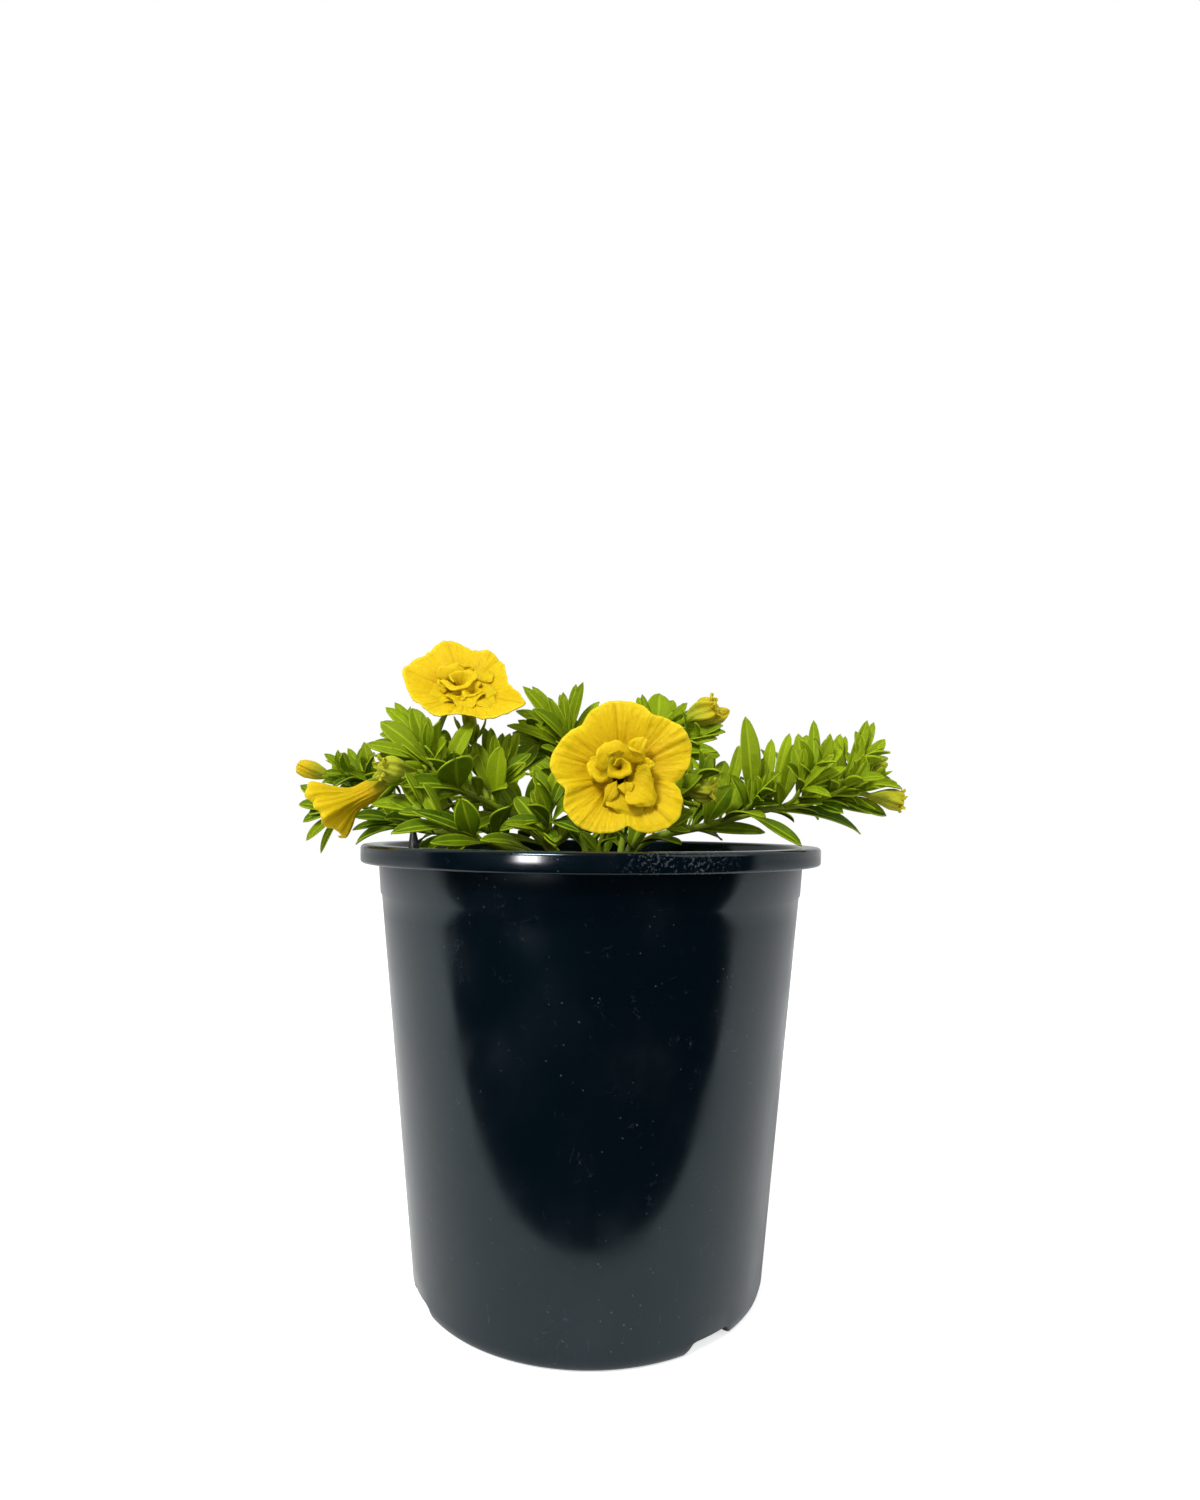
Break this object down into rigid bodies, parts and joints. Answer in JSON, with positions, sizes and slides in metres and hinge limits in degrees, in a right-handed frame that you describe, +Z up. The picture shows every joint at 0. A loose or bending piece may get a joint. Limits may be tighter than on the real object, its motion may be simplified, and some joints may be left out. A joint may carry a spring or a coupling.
{
  "type": "potted calibrachoa",
  "caption": "Double-flowered yellow calibrachoa with leafy trailing stems, buds and blooms, rooted in soil in a round black nursery pot.",
  "frame": {"origin": "centre of the pot's underside, on the surface that the pot stands on", "axes": "+Z up, -Y towards the viewer of the picture (the front), +X to the viewer's right"},
  "size_m": [0.189, 0.14, 0.1916],
  "materials": {
    "pot": "smooth black injection-moulded plastic with a soft gloss",
    "soil": "matte dark brown potting mix with bark and peat",
    "stub": "dull dark plastic",
    "foliage": "soft finely haired green leaf",
    "petal": "satin yellow petal with fine veins",
    "bud": "furled yellow petal"
  },
  "bodies": {
    "root": {"pot": "pot", "potting_soil": "soil", "plastic_stub": "stub", "stem_right": "foliage", "stem_left": "foliage", "stem_left_back": "foliage", "stem_left_trailing": "foliage", "stem_left_low": "foliage", "stem_front_low": "foliage", "stem_centre_back": "foliage", "stem_right_back": "foliage", "stem_front_right": "foliage", "stem_front": "foliage", "stem_back": "foliage", "stem_back_left": "foliage", "stem_back_right": "foliage", "bloom_front": "petal", "bloom_upper_left": "petal", "bloom_half_open": "petal", "bud_left": "bud", "bud_front_left": "bud", "bud_upper_right": "bud", "bud_upper_right_back": "bud", "bud_right": "bud", "bud_far_right": "bud", "bud_right_small": "bud", "bud_back": "bud", "bud_back_right": "bud"}
  },
  "joints": []
}
